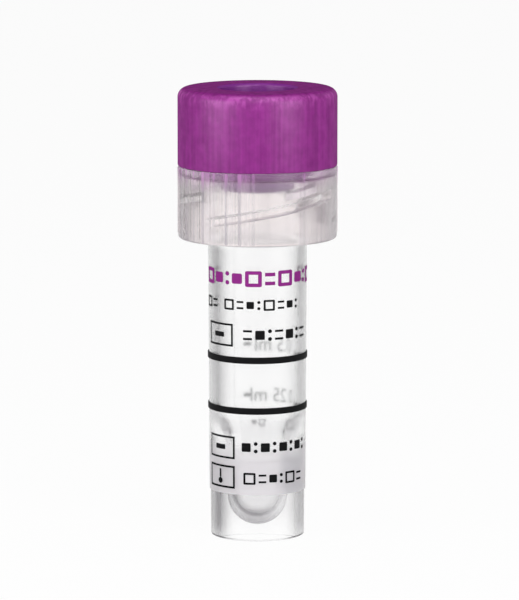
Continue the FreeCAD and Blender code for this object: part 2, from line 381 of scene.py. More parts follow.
class Finish:
    """One material, or the world's light, built node by node."""

    def __init__(self, name, world=None):
        self.owner = world or bpy.data.materials.new(name)
        self.owner.use_nodes = True
        self.ending = "OutputWorld" if world else "OutputMaterial"
        self.tree = self.owner.node_tree
        self.tree.nodes.clear()

    def node(self, kind, settings=None, inputs=None, output=0):
        """Add a node: its settings first, then its inputs, and wrap one output."""
        made = self.tree.nodes.new("ShaderNode" + kind)
        for key, value in (settings or {}).items():
            if key == "stops":
                self.set_stops(made.color_ramp, value)
            else:
                setattr(made, key, value)
        for key, value in (inputs or {}).items():
            self.plug(self.find(made.inputs, key), value)
        return Number(self, self.find(made.outputs, output))

    @staticmethod
    def find(sockets, key):
        """A socket by its place, its identifier or its name."""
        if isinstance(key, int):
            return sockets[key]
        for socket in sockets:
            if socket.identifier == key:
                return socket
        return sockets[key]

    @staticmethod
    def set_stops(ramp, stops):
        """Give a ramp its grey stops, each a (place, value)."""
        while len(ramp.elements) > 1:
            ramp.elements.remove(ramp.elements[0])
        for i, (place, value) in enumerate(stops):
            element = ramp.elements[0] if i == 0 else ramp.elements.new(place)
            element.position = place
            element.color = (value, value, value, 1)

    def plug(self, socket, value):
        """Set a socket to a constant, or link a wrapped output to it."""
        if isinstance(value, Number):
            self.tree.links.new(value.socket, socket)
        elif socket.type == "RGBA" and len(value) == 3:
            socket.default_value = (*value, 1)
        else:
            socket.default_value = value

    def noise(self, scale, detail, stretch=1):
        """Random pattern with scale cells in a metre, and stretch times as many upright."""
        here = self.node("TexCoord", output="Object")
        place = self.node("Mapping", None, {"Vector": here, "Scale": (1, 1, stretch)})
        inputs = {"Vector": place, "Scale": scale, "Detail": detail}
        return self.node("TexNoise", None, inputs, output="Fac")

    def ramp(self, number, stops):
        """A number from 0 to 1 passed through a curve of (place, value) stops."""
        return self.node("ValToRGB", {"stops": stops}, {"Fac": number}, output="Color")

    def curve(self, number, stops):
        """The same for a number in any unit, with the stops in its unit."""
        low, high = stops[0][0], stops[-1][0]
        scaled = [((place - low) / (high - low), value) for place, value in stops]
        return self.ramp((number - low) / (high - low), scaled)

    def axis(self, name, output="Object"):
        """One coordinate of the point. On Object it is in metres, as the mesh is."""
        return self.node(
            "SeparateXYZ", None, {"Vector": self.node("TexCoord", output=output)}, output=name
        )

    def above(self, number, limit):
        """1 where a number is over a limit, and 0 elsewhere."""
        return self.node("Math", {"operation": "GREATER_THAN"}, {0: number, 1: limit})

    def height(self):
        """Height of the point in millimetres."""
        return self.axis("Z") / MM

    def across(self):
        """Distance of the point to the right of the axis, in millimetres."""
        return self.axis("X") / MM

    def from_axis(self):
        """Distance of the point from the axis in millimetres."""
        x, y = self.axis("X"), self.axis("Y")
        return (x * x + y * y) ** 0.5 / MM

    def mix_colour(self, amount, first, second):
        """Blend of two colours."""
        inputs = {"Factor_Float": amount, "A_Color": first, "B_Color": second}
        return self.node("Mix", {"data_type": "RGBA"}, inputs, output="Result_Color")

    def bump(self, height, distance):
        """Normal of a surface raised by height times distance, in metres."""
        return self.node("Bump", None, {"Height": height, "Distance": distance})

    def surface(self, **inputs):
        """Principled surface, with spaces in socket names written as underscores."""
        named = {key.replace("_", " "): value for key, value in inputs.items()}
        return self.node("BsdfPrincipled", None, named)

    def mix(self, amount, first, second):
        """Blend of two surfaces."""
        return self.node("MixShader", None, {0: amount, 1: first, 2: second})

    def done(self, surface):
        """Send a surface to the output."""
        ending = self.tree.nodes.new("ShaderNode" + self.ending)
        self.plug(ending.inputs["Surface"], surface)
        return self.owner


def dress(piece, material, body, slot, *replaced):
    """Give a finished piece its material and its body, and hide the CAD nodes it replaces. Slot is
    not used.
    """
    piece.data.materials.clear()
    piece.data.materials.append(material)
    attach(piece, body)
    if replaced:
        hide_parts(*replaced)
    print(piece.name, "has", len(piece.data.polygons), "faces")


print("shader helpers ready")

# %% [markdown]
# ## Clear plastic
# Natural polypropylene is clear but never quite like glass. It bends light with an
# index of about 1.49, it has a little haze, and its walls look grey where light
# runs along inside them instead of through. That happens at shallow angles, most of
# all where light meets the wall from within. A bare glass shader needs a dark studio
# to show it, and would then be dark all over. So that grey is painted shade: Layer
# Weight gives the angle, Backfacing says which side is met, and together they set how
# much of a plain grey surface is mixed in. Rays on their way to a lamp pass nearly
# straight through.

# %% How clear plastic is mixed
PLASTIC_IOR = 1.49
INSIDE_STOPS = [
    (0.0, 0.0), (0.06, 0.0), (0.10, 0.03), (0.14, 0.14), (0.18, 0.31), (0.22, 0.44),
    (0.26, 0.66), (0.30, 0.63), (0.34, 0.42), (0.39, 0.0), (0.8, 0.0), (0.93, 0.7),
]
OUTSIDE_STOPS = [(0.0, 0.0), (0.65, 0.0), (0.85, 0.4), (1.0, 1.0)]
SHADOW_TINT = (0.97, 0.97, 0.97)
SHADOW_PASS = 0.9


def let_lamps_through(finish, surface):
    """A surface that rays on their way to a lamp hardly notice."""
    gap = finish.node("BsdfTransparent", None, {"Color": SHADOW_TINT})
    shadow = finish.node("LightPath", output="Is Shadow Ray")
    return finish.mix(shadow * SHADOW_PASS, surface, gap)


def clear_plastic(name, tint, shade, roughness, edges, haze_and_painted_light):
    """Clear moulding. Edges gives its painted shade inside and outside; the haze function gives
    its haze, with painted light and shade on some pieces.
    """
    finish = Finish(name)
    inside, outside = edges(finish)
    facing = finish.node("LayerWeight", None, {"Blend": 0.5}, output="Facing")
    within = finish.node("NewGeometry", output="Backfacing")
    from_inside = finish.ramp(facing, INSIDE_STOPS) * within * inside
    from_outside = finish.ramp(facing, OUTSIDE_STOPS) * (1 - within) * outside
    glass = finish.surface(
        Base_Color=tint, Roughness=roughness, IOR=PLASTIC_IOR, Transmission_Weight=1.0
    )
    # The haze surface also carries painted light and shade on some pieces.
    haze_and_painted_light_share, haze_and_painted_light_colour = haze_and_painted_light(finish)
    haze_and_painted_light_surface = finish.surface(Base_Color=haze_and_painted_light_colour, Roughness=0.6, Specular_IOR_Level=0.2)
    body = finish.mix(haze_and_painted_light_share, glass, haze_and_painted_light_surface)
    grey = finish.surface(Base_Color=shade, Roughness=0.5, Specular_IOR_Level=0.2)
    solid = finish.mix((from_inside + from_outside).at_most(1.0), body, grey)
    return finish.done(let_lamps_through(finish, solid))


stays_in = 1 - math.cos(math.asin(1 / PLASTIC_IOR))
print("light stays inside a wall where Facing is over", round(stays_in, 2))

# %% [markdown]
# ## The tube's finish
# The tube is water clear. The painted shade of its walls is darkest at the open skirt,
# fades right of the middle where more light gets in, and all but vanishes inside the
# ring and where the bore narrows. The skirt has a little haze, the tip of the chamber
# a painted grey shade, and the lugs a painted pale lilac light. All this follows
# height, side and radius, so curves over them say it more plainly than a painted map
# would.

# %% Clear finish of the tube
TUBE_TINT = (1.0, 1.0, 1.0)
TUBE_SHADE = (0.13, 0.12, 0.135)
TUBE_ROUGHNESS = 0.02
TUBE_OUTSIDE_SHADE = 0.12
TUBE_SHADE_LEVEL = 1.08
TUBE_SHADE_BY_HEIGHT = [
    (0, 0.48), (1.5, 1.0), (7.5, 1.0), (10, 0.66), (25, 0.73), (29.25, 0.80), (29.7, 0.07),
    (50, 0.07),
]
TUBE_SHADE_BY_SIDE = [(-5, 1.0), (0, 1.0), (2.5, 0.15), (3.45, 0.2), (3.8, 0.9), (5, 1.0)]
NARROWING = [(0, 0.0), (7.6, 0.0), (8, 1.0), (13, 1.0), (13.8, 0.0), (20, 0.0)]
OUTER_WALL_R = 4.3
OUTER_WALL_SHARE = 0.2
SKIRT_HAZE = [(0, 0.0), (1.5, 0.01), (3, 0.045), (7.5, 0.045), (10, 0.0), (50, 0.0)]
# Painted grey shade at the chamber's round tip, in the grey that the skirt's haze uses too.
TIP_PAINTED_SHADE = [(0, 0.4), (1.6, 0.34), (2, 0.14), (2.6, 0.03), (3.2, 0.0), (10, 0.0)]
TIP_R = 3.5
TUBE_HAZE_AND_SHADE_GREY = (0.46, 0.43, 0.47)
# Pale lilac painted light over the lugs, mixed at half strength to lighten their dark look.
LUG_PAINTED_LIGHT = (0.90, 0.84, 0.92)
LUG_LIGHT_SHARE = 0.5
LUG_FOOT_R = NECK_R + 0.07


def tube_edges(finish):
    """Shade of the tube's walls, met from inside and from outside."""
    by_height = finish.curve(finish.height(), TUBE_SHADE_BY_HEIGHT) * TUBE_SHADE_LEVEL
    by_side = finish.curve(finish.across(), TUBE_SHADE_BY_SIDE)
    outer = finish.above(finish.from_axis(), OUTER_WALL_R)
    lost = finish.curve(finish.height(), NARROWING) * (1 - outer * OUTER_WALL_SHARE)
    return by_height * by_side * (1 - lost), TUBE_OUTSIDE_SHADE


def tube_milk(finish):
    """Haze of the skirt, painted shade at the chamber's tip and painted light on the lugs, with
    their colour.
    """
    height = finish.height()
    skirt = finish.curve(height, SKIRT_HAZE)
    middle = 1 - finish.above(finish.from_axis(), TIP_R)
    cloud = finish.noise(900, detail=2)
    # Painted shade at the tip, made uneven by a noise.
    tip_shade = finish.curve(height, TIP_PAINTED_SHADE) * middle * (0.6 + 0.8 * cloud)
    lug = finish.above(finish.from_axis(), LUG_FOOT_R)
    colour = finish.mix_colour(lug, TUBE_HAZE_AND_SHADE_GREY, LUG_PAINTED_LIGHT)
    return skirt + tip_shade + LUG_LIGHT_SHARE * lug, colour


CLEAR = clear_plastic(
    "clear_plastic", TUBE_TINT, TUBE_SHADE, TUBE_ROUGHNESS, tube_edges, tube_milk
)
print("tube finish:", CLEAR.name)

# %% [markdown]
# ## The ring's finish
# The ring is the same plastic from a rougher mould, so it is frosted. It has fine
# upright drag marks. On top of them it has painted shade: darker stripes beside its
# grip ribs, two faint upright lines and a dark line along the lower corner of each
# ridge. A painted purple glow lies near the cover, and its pale pink tint is painted
# light from the cover too. Angles about the axis place the stripes and lines, and the
# ridge's own pitch places its corner.

# %% Where the ribs and ridges lie
RIB_PITCH = 10
RIBS_PER_SECTOR = 9
RIB_STARTS = (-87, 93)
RIDGE_START = -45
RIDGE_SPAN = 360 / THREAD_STARTS
RIDGE_FOOT = 32.75
RIDGE_TIP_R = 6.05

rib_ends = [start + RIB_PITCH * (RIBS_PER_SECTOR - 1) for start in RIB_STARTS]
print("ribs run from", RIB_STARTS, "to", rib_ends, "degrees from the front")

# %% Frosted finish of the ring
# Pale pink tint: painted light from the purple cover.
RING_PINK_LIGHT_TINT = (1.0, 0.962, 0.962)
RING_SHADE = (0.24, 0.20, 0.235)
RING_ROUGHNESS = 0.20
RING_OUTSIDE_SHADE = 0.5
RING_SHADE_BY_HEIGHT = [(34, 0.5), (36.08, 0.5), (36.48, 0.08), (38, 0.08)]
RING_MILK = (0.68, 0.62, 0.65)
PAINTED_SHADE_GREY = (0.34, 0.31, 0.35)
# Painted purple glow from the cover, near the ring's top.
PAINTED_PURPLE_GLOW = (0.50, 0.22, 0.49)
PAINTED_CORNER_SHADE = (0.16, 0.13, 0.155)
STRIPE_TURN = 363  # a full turn keeps angles positive, and 3 degrees set it beside a rib
# Painted shade: a narrow dark stripe beside each grip rib.
STRIPE = [(0.0, 1.0), (0.14, 0.9), (0.34, 0.0), (1.0, 0.0)]
STRIPE_SHADE = 0.60
SECTOR_MARGINS = (5, 8)  # degrees before the first rib and after the last one
# Where the painted purple glow lies, by height.
GLOW = [(34, 0.0), (35.32, 0.0), (36.4, 0.12), (37.2, 0.22), (38, 0.26)]
# Two faint upright lines of painted shade on the ring's right side, placed by angle.
UPRIGHT_SHADE_LINES = [
    (30, 0.0), (33.3, 0.0), (35.7, 0.34), (37.8, 0.0), (50.1, 0.0), (52.8, 0.24), (55.2, 0.0),
    (60, 0.0),
]
DRAG_HAZE = [(0.43, 0.0), (0.52, 0.015), (0.64, 0.24)]
DRAG_SHARE = 0.2
DRAG_SHARE_AT_RIBS = 1.25
# Painted shade along the lower corner of each ridge, by height above it.
RIDGE_CORNER = [(-0.5, 0.0), (-0.05, 0.0), (0, 1.0), (0.12, 0.9), (0.3, 0.0), (0.5, 0.0)]
RIDGE_CORNER_TOP = 36.3
CORNER_SHADE = 0.55


def ring_edges(finish):
    """Shade of the ring's wall, and hardly any in its solid top."""
    wall = finish.curve(finish.height(), RING_SHADE_BY_HEIGHT)
    return wall * finish.above(finish.from_axis(), RING_BORE_R - 0.02), RING_OUTSIDE_SHADE


def turn_angle(finish):
    """Angle of the point about the axis, in degrees from the front towards +X."""
    sides = {0: finish.axis("X"), 1: 0 - finish.axis("Y")}
    return finish.node("Math", {"operation": "ARCTAN2"}, sides) * (180 / math.pi)


def grip_sectors(finish, angle):
    """1 in the two sectors that have ribs."""
    return sum(
        finish.above(angle, start - SECTOR_MARGINS[0])
        * (1 - finish.above(angle, end + SECTOR_MARGINS[1]))
        for start, end in zip(RIB_STARTS, rib_ends)
    )


def rib_stripes(finish, angle):
    """Narrow stripes of painted shade on the outer wall, one beside each rib."""
    half = RIB_PITCH / 2
    phase = finish.node("Math", {"operation": "PINGPONG"}, {0: angle + STRIPE_TURN, 1: half})
    drag = finish.noise(1400, detail=3, stretch=0.03)
    outer = finish.above(finish.from_axis(), RING_R - 0.05)
    return finish.ramp(phase / half, STRIPE) * outer * drag * STRIPE_SHADE


def ridge_corners(finish, angle):
    """Painted dark line of shade along the lower inner corner of every ridge."""
    spread = {0: angle - RIDGE_START, 1: RIDGE_SPAN}
    sweep = finish.node("Math", {"operation": "FLOORED_MODULO"}, spread)
    rise = finish.height() - RIDGE_FOOT - (sweep + RIDGE_START) * (THREAD_LEAD / 360)
    inner = 1 - finish.above(finish.from_axis(), RIDGE_TIP_R + 0.15)
    under = 1 - finish.above(finish.height(), RIDGE_CORNER_TOP)
    return finish.curve(rise, RIDGE_CORNER) * inner * under * CORNER_SHADE


def ring_milk(finish):
    """Haze of the ring, with the painted shade and glow on it, and its colour, which each mark
    tints before it is thick.
    """
    angle = turn_angle(finish)
    grip = grip_sectors(finish, angle)
    ribs = rib_stripes(finish, angle) * grip
    glow = finish.curve(finish.height(), GLOW)
    shade_lines = finish.curve(angle, UPRIGHT_SHADE_LINES)
    ridge_shade = ridge_corners(finish, angle)
    streak = finish.noise(1100, detail=4, stretch=0.02)
    share = DRAG_SHARE + (DRAG_SHARE_AT_RIBS - DRAG_SHARE) * grip
    haze = finish.ramp(streak, DRAG_HAZE) * share
    # Painted shade: grey for the rib stripes and the upright lines.
    colour = finish.mix_colour((ribs * 3 + shade_lines * 4).at_most(1.0), RING_MILK, PAINTED_SHADE_GREY)
    colour = finish.mix_colour((glow * 5).at_most(1.0), colour, PAINTED_PURPLE_GLOW)
    colour = finish.mix_colour(ridge_shade, colour, PAINTED_CORNER_SHADE)
    return haze + ribs + glow + shade_lines + ridge_shade, colour


FROSTED = clear_plastic(
    "frosted_plastic", RING_PINK_LIGHT_TINT, RING_SHADE, RING_ROUGHNESS, ring_edges, ring_milk
)
print("ring finish:", FROSTED.name)

# %% [markdown]
# ## Purple plastic and rubber
# The cover is a satin moulding with fine upright drag marks from the mould, a faint
# mottle, a painted highlight along its rounded rim and painted shade in its well. One
# colour would look like paint, so noises of different grain shift its colour, its
# sheen and its surface together. The stopper is a softer, bluer rubber.

# %% Purple finishes
COVER_PURPLE = (0.213, 0.006, 0.186)
COVER_SHEEN = (0.48, 0.30, 0.45)
SHEEN_AMOUNT = 0.115
# Painted highlight on the rounded rim: a paler purple, with more sheen.
RIM_HIGHLIGHT_PURPLE = (0.42, 0.05, 0.36)
# Painted shade in the well: a darker, bluer purple.
WELL_SHADE_PURPLE = (0.19, 0.016, 0.24)
WELL_REACH_R = 4.05
RIM_HIGHLIGHT = [
    (42, 0.0), (43.68, 0.0), (44.48, 0.5), (44.88, 1.0), (45.12, 0.3), (45.24, 0.0), (46, 0.0),
]
RIM_HIGHLIGHT_GRAIN = [(0.42, 0.1), (0.50, 0.35), (0.60, 1.0)]
SHEEN_BY_HEIGHT = [(45, 1.0), (45.18, 0.5), (45.3, 0.5)]
RUBBER_PURPLE = (0.12, 0.018, 0.17)


def times(colour, factor):
    """A colour made darker or lighter."""
    return tuple(factor * part for part in colour)


def purple_plastic():
    """Satin moulding with fine upright streaks, a painted highlight on its rim and painted shade
    in its well.
    """
    finish = Finish("purple_plastic")
    streak = finish.noise(2000, detail=4, stretch=0.025)
    mottle = finish.noise(900, detail=4)
    speck = finish.noise(2200, detail=3, stretch=0.5)
    patch = finish.noise(420, detail=2, stretch=0.6)
    rim = finish.curve(finish.height(), RIM_HIGHLIGHT)
    # Painted highlight along the rim, broken into specks.
    rim_highlight = rim * finish.ramp(speck * 0.6 + patch * 0.4, RIM_HIGHLIGHT_GRAIN)
    well = 1 - finish.above(finish.from_axis(), WELL_REACH_R)
    depth = finish.ramp(streak * 0.5 + mottle * 0.25 + speck * 0.25, [(0.38, 0.0), (0.62, 1.0)])
    colour = finish.mix_colour(depth, times(COVER_PURPLE, 0.78), times(COVER_PURPLE, 1.20))
    colour = finish.mix_colour(rim_highlight, colour, RIM_HIGHLIGHT_PURPLE)
    # Painted shade inside the well.
    colour = finish.mix_colour(well, colour, WELL_SHADE_PURPLE)
    normal = finish.bump(streak * 0.4 + mottle * 0.2 + speck * 0.4, mm(0.05))
    paint = finish.surface(Base_Color=colour, Roughness=0.6, Specular_IOR_Level=0.0, Normal=normal)
    sheen = finish.surface(Base_Color=COVER_SHEEN, Metallic=1.0, Roughness=0.38, Normal=normal)
    top = finish.curve(finish.height(), SHEEN_BY_HEIGHT)
    uneven = 0.35 + 0.7 * mottle + 0.6 * streak + 0.5 * rim_highlight
    return finish.done(finish.mix(SHEEN_AMOUNT * top * uneven, paint, sheen))


def purple_rubber():
    """Matt elastomer with a fine grain."""
    finish = Finish("purple_rubber")
    grain = finish.noise(2500, detail=4)
    colour = finish.mix_colour(grain, RUBBER_PURPLE, times(RUBBER_PURPLE, 1.3))
    rough = 0.55 + 0.1 * grain
    normal = finish.bump(grain, mm(0.01))
    return finish.done(
        finish.surface(Base_Color=colour, Roughness=rough, Specular_IOR_Level=0.3, Normal=normal)
    )


PURPLE = purple_plastic()
RUBBER = purple_rubber()
print("purple finishes:", PURPLE.name, RUBBER.name)

# %% [markdown]
# ## Label film and inks
# The label is a clear film. Its lower part is milkier and blurs more, most of all on
# the front half, and a band at the right of it is greyer with painted shade. Fog in
# the whole tube would hide the chamber, so the milk is mixed into the film alone. Ink
# lies on it: black for the fill lines and most marks, purple for the top row.

# %% Film and ink finishes
FILM_TINT = (1.0, 1.0, 1.0)
FILM_IOR = 1.45
FILM_ROUGHNESS = [(0, 0.42), (9, 0.38), (10.5, 0.14), (30, 0.14)]
FILM_MILK = [(0, 0.32), (7.95, 0.30), (9.9, 0.04), (13.5, 0.01), (30, 0.01)]
FRONT_HALF = [(-5, 1.1), (0, 1.0), (1.2, 0.15), (5, 0.0)]
# Painted shade: a greyer band at the right of the label's milk.
RIGHT_SHADE_BAND = [(-5, 0.0), (2, 0.0), (2.8, 0.8), (3.9, 0.8), (4.7, 0.0), (5, 0.0)]
PALE_MILK = (0.72, 0.69, 0.72)
RIGHT_SHADE_GREY = (0.52, 0.505, 0.545)


def label_film():
    """Thin frosted film: it blurs what lies behind it, and a band at its right has painted shade.
    """
    finish = Finish("label_film")
    rough = finish.curve(finish.height(), FILM_ROUGHNESS)
    clear = finish.surface(
        Base_Color=FILM_TINT, Roughness=rough, IOR=FILM_IOR, Transmission_Weight=1.0
    )
    right_shade = finish.curve(finish.across(), RIGHT_SHADE_BAND)
    colour = finish.mix_colour(right_shade, PALE_MILK, RIGHT_SHADE_GREY)
    haze_and_painted_light_surface = finish.surface(Base_Color=colour, Roughness=0.6, Specular_IOR_Level=0.2)
    front = finish.curve(finish.axis("Y") / MM, FRONT_HALF)
    cloud = finish.noise(300, detail=1)
    haze_and_painted_light_share = finish.curve(finish.height(), FILM_MILK) * front * (0.7 + 0.6 * cloud)
    return finish.done(let_lamps_through(finish, finish.mix(haze_and_painted_light_share, clear, haze_and_painted_light_surface)))


def ink(name, colour):
    """Printed ink: nearly flat colour, uneven gloss and a slightly lumpy skin."""
    finish = Finish(name)
    lump = finish.noise(3000, detail=3)
    paint = finish.mix_colour(lump, colour, tuple(c * 1.5 + 0.002 for c in colour))
    rough = 0.5 + 0.2 * lump
    normal = finish.bump(lump, mm(0.008))
    return finish.done(
        finish.surface(Base_Color=paint, Roughness=rough, Specular_IOR_Level=0.05, Normal=normal)
    )


FILM = label_film()
BLACK = ink("black_ink", (0.004, 0.004, 0.0045))
PURPLE_INK = ink("purple_ink", (0.19, 0.018, 0.165))
FAINT = ink("faint_ink", (0.13, 0.13, 0.14))
print("film and inks:", FILM.name, BLACK.name, PURPLE_INK.name, FAINT.name)

# %% [markdown]
# ## The tube
# The tube is one moulding. Its outside runs from an open foot up to the neck, the
# bore comes down inside to a slim round-bottomed chamber, and the chamber hangs in
# the open skirt. The whole section is one line from the bottom of the bore, up over
# the rim, down the outside, up inside the skirt and down round the chamber. Separate
# outer and inner shells would be quicker, but clear plastic shows every seam.

# %% Model the tube
BORE_TOP_R = 4.02
RIM_FLARE_OUT = 0.14
RIM_FLARE_DOWN = 0.50
BORE_FOOT = (3.86, 12.90)
SHOULDER = (2.75, 10.20)
CHAMBER_TIP = (2.00, 2.36)
CHAMBER_UNDERSIDE = (2.66, 1.40)
SKIRT_TOP = 8.00
CHAMBER_AT_SKIRT_R = 3.34
SKIRT_R = 3.72
SKIRT_TOP_R = SKIRT_R - 0.05
NECK_STEP = (NECK_R, NECK_BOTTOM + 0.12)
LUG_ROOT_R = NECK_R - 0.15
LUG_SECTION = [(5.60, 33.82), (6.72, 34.02), (6.72, 34.67), (5.60, 34.87)]
LUG_START = 26
LUG_SPAN = 38

inside = round_end(*CHAMBER_TIP, *SHOULDER)
underside = round_end(*CHAMBER_UNDERSIDE, CHAMBER_AT_SKIRT_R, SKIRT_TOP)
tube = turn("clear_tube", inside + [
    SHOULDER,
    BORE_FOOT,
    (BORE_TOP_R, TUBE_TOP - RIM_FLARE_DOWN),
    (BORE_TOP_R + RIM_FLARE_OUT, TUBE_TOP),
    (NECK_R, TUBE_TOP),
    NECK_STEP,
    (TUBE_TOP_R, NECK_BOTTOM),
    (TUBE_FOOT_R, 0),
    (SKIRT_R, 0),
    (SKIRT_TOP_R, SKIRT_TOP),
    (CHAMBER_AT_SKIRT_R, SKIRT_TOP),
] + underside[::-1])
soften(tube, [
    (*SHOULDER, 0.8, 6),
    (*BORE_FOOT, 0.9, 6),
    (NECK_R, TUBE_TOP, 0.2, 4),
    (*NECK_STEP, 0.10, 3),
    (TUBE_TOP_R, NECK_BOTTOM, 0.10, 3),
    (TUBE_FOOT_R, 0, 0.15, 4),
    (SKIRT_R, 0, 0.15, 4),
    (SKIRT_TOP_R, SKIRT_TOP, 0.14, 4),
    (CHAMBER_AT_SKIRT_R, SKIRT_TOP, 0.14, 4),
])
join_solid(tube, flights("lug", LUG_SECTION, LUG_START, LUG_SPAN, LUG_ROOT_R))
smooth(tube)
dress(tube, CLEAR, "tube", "clear_plastic", "tube")

# %% [markdown]
# ## The thread ring
# The ring is clear like the tube, but a little frosted. It carries the ridges that
# pull the cap down, and two sectors of fine upright ribs for grip. The ribs are
# faces of the outer wall, picked by their angle and extruded.

# %% Model the ring
RING_SHOULDER = 37.45
RING_CEILING = 36.62
RING_LIP_R = 5.10
RING_LIP_TOP = 36.92
SPIGOT_R = 6.82
SPIGOT_BORE_R = 5.70
SPIGOT_TOP = 41.20
SNAP_BEAD = 39.60
BEAD_RELIEF = 0.18
BEAD_HALF = 0.50
RIB_BOTTOM = RING_BOTTOM + 0.55
RIB_TOP = RING_SHOULDER - 0.15
RIB_RELIEF = 0.09
RIB_HALF_ANGLE = 1.2
RIDGE_SECTION = [
    (7.20, RIDGE_FOOT), (RIDGE_TIP_R, RIDGE_FOOT), (RIDGE_TIP_R, 33.47), (7.20, 33.87),
]
RIDGE_ROOT_R = RING_BORE_R + 0.12

ring = turn("thread_collar", [
    (RING_BORE_R, RING_BOTTOM),
    (RING_R, RING_BOTTOM),
    (RING_R, RIB_BOTTOM),
    (RING_R, RIB_TOP),
    (RING_R, RING_SHOULDER),
    (SPIGOT_R, RING_SHOULDER),
    (SPIGOT_R, SNAP_BEAD - BEAD_HALF),
    (SPIGOT_R + BEAD_RELIEF, SNAP_BEAD),
    (SPIGOT_R, SNAP_BEAD + BEAD_HALF),
    (SPIGOT_R, SPIGOT_TOP),
    (SPIGOT_BORE_R, SPIGOT_TOP),
    (SPIGOT_BORE_R, RING_LIP_TOP),
    (RING_LIP_R, RING_LIP_TOP),
    (RING_LIP_R, RING_CEILING),
    (RING_BORE_R, RING_CEILING),
], sides=360)


def front_angle(co):
    """Angle of a point about the axis, in degrees from the front towards +X."""
    return math.degrees(math.atan2(co.x, -co.y))


def raise_ribs(piece):
    """Extrude the narrow strips of outer wall that are the grip ribs."""
    angles = [start + RIB_PITCH * k for start in RIB_STARTS for k in range(RIBS_PER_SECTOR)]
    only(piece)
    bpy.ops.object.mode_set(mode="EDIT")
    bpy.ops.mesh.select_mode(type="FACE")
    bpy.ops.mesh.select_all(action="DESELECT")
    mesh = bmesh.from_edit_mesh(piece.data)
    for face in mesh.faces:
        centre = face.calc_center_median()
        middle = mm(RIB_BOTTOM) < centre.z < mm(RIB_TOP)
        outer = math.hypot(centre.x, centre.y) > mm(RING_R - 0.1)
        off = min(abs((front_angle(centre) - a + 180) % 360 - 180) for a in angles)
        face.select = middle and outer and off < RIB_HALF_ANGLE
    bmesh.update_edit_mesh(piece.data)
    bpy.ops.mesh.extrude_region_shrink_fatten(
        TRANSFORM_OT_shrink_fatten={"value": mm(RIB_RELIEF)}
    )
    bpy.ops.object.mode_set(mode="OBJECT")


raise_ribs(ring)
soften(ring, [
    (RING_R, RING_BOTTOM, 0.28, 5),
    (RING_BORE_R, RING_BOTTOM, 0.12, 3),
    (RING_R, RING_SHOULDER, 0.06, 3),
    (RING_BORE_R, RING_CEILING, 0.25, 4),
    (SPIGOT_R, SPIGOT_TOP, 0.15, 3),
])
join_solid(ring, flights("ridge", RIDGE_SECTION, RIDGE_START, RIDGE_SPAN, RIDGE_ROOT_R))
smooth(ring)
dress(ring, FROSTED, "cap", "frosted_plastic", "thread_ring")

# %% [markdown]
# ## The cover
# The purple cover is a shell with a rounded top edge and a well in the middle, where
# a needle goes down to the stopper. The rounding could be drawn into the section, but
# one bevel is easier to change. Inside, six webs stand between the well and the wall,
# and they are fused to it like the lugs. Only the lifted cap shows them.

# %% Model the cover
COVER_INNER_R = 6.88
COVER_ROOF = 43.86
COVER_ROUNDING = 0.93
WELL_R = 3.80
WELL_OUTER_R = 5.00
WELL_FOOT = 38.68
GROOVE_HALF = 0.55
WEB_COUNT = 6
WEB_THICKNESS = 0.80
WEB_BOTTOM = 40.72
WEB_SUNK_SIDEWAYS = 0.5
WEB_SUNK_UPWARDS = 0.3

cover = turn("purple_cover", [
    (COVER_INNER_R, COVER_BOTTOM),
    (COVER_R, COVER_BOTTOM),
    (COVER_R, COVER_TOP),
    (WELL_R, COVER_TOP),
    (WELL_R, WELL_FOOT),
    (WELL_OUTER_R, WELL_FOOT),
    (WELL_OUTER_R, COVER_ROOF),
    (COVER_INNER_R, COVER_ROOF),
    (COVER_INNER_R, SNAP_BEAD + GROOVE_HALF),
    (COVER_INNER_R + BEAD_RELIEF, SNAP_BEAD),
    (COVER_INNER_R, SNAP_BEAD - GROOVE_HALF),
])
soften(cover, [
    (COVER_R, COVER_TOP, COVER_ROUNDING, 10),
    (COVER_R, COVER_BOTTOM, 0.10, 4),
    (WELL_R, COVER_TOP, 0.30, 6),
    (WELL_OUTER_R, WELL_FOOT, 0.15, 3),
    (WELL_R, WELL_FOOT, 0.12, 3),
])


def web(k):
    """One upright web between the well and the cover's wall."""
    length = COVER_INNER_R - WELL_OUTER_R + WEB_SUNK_SIDEWAYS
    height = COVER_ROOF - WEB_BOTTOM + WEB_SUNK_UPWARDS
    bpy.ops.object.select_all(action="DESELECT")
    bpy.ops.mesh.primitive_cube_add(size=1, location=(0, 0, 0))
    piece = bpy.context.object
    piece.name = "web" + str(k)
    middle = Vector(((WELL_OUTER_R + COVER_INNER_R) / 2, 0, WEB_BOTTOM + height / 2))
    place = Matrix.Translation(middle * MM)
    size = Matrix.Diagonal((mm(length), mm(WEB_THICKNESS), mm(height), 1))
    turned = Matrix.Rotation(math.radians(360 * k / WEB_COUNT - 90), 4, "Z")
    piece.data.transform(turned @ place @ size)
    return piece


join_solid(cover, [web(k) for k in range(WEB_COUNT)])
smooth(cover)
dress(cover, PURPLE, "cap", "purple_plastic", "cap_cover")

# %% [markdown]
# ## The stopper
# The stopper is soft. Its plug closes the bore, its flange is held between the ring
# and the cover, and its top has the dimple that a needle is guided into. It is solid
# and round, so turning one closed section gives all of it, and wide bevels make it
# look soft.

# %% Model the stopper
PLUG_R = 3.97
PLUG_TIP_R = 3.55
PLUG_HOLLOW_R = 2.30
PLUG_BOTTOM = bottom_of("stopper")
PLUG_SHOULDER = PLUG_BOTTOM + 0.6
SEAT_R = 4.97
SEAT_GAP = 0.05
FLANGE_R = 5.62
BOSS_TOP = top_of("stopper")
BOSS_R = 3.70
DIMPLE_R = 2.55
SEPTUM_BOTTOM = 37.20
SEPTUM_TOP = 39.40

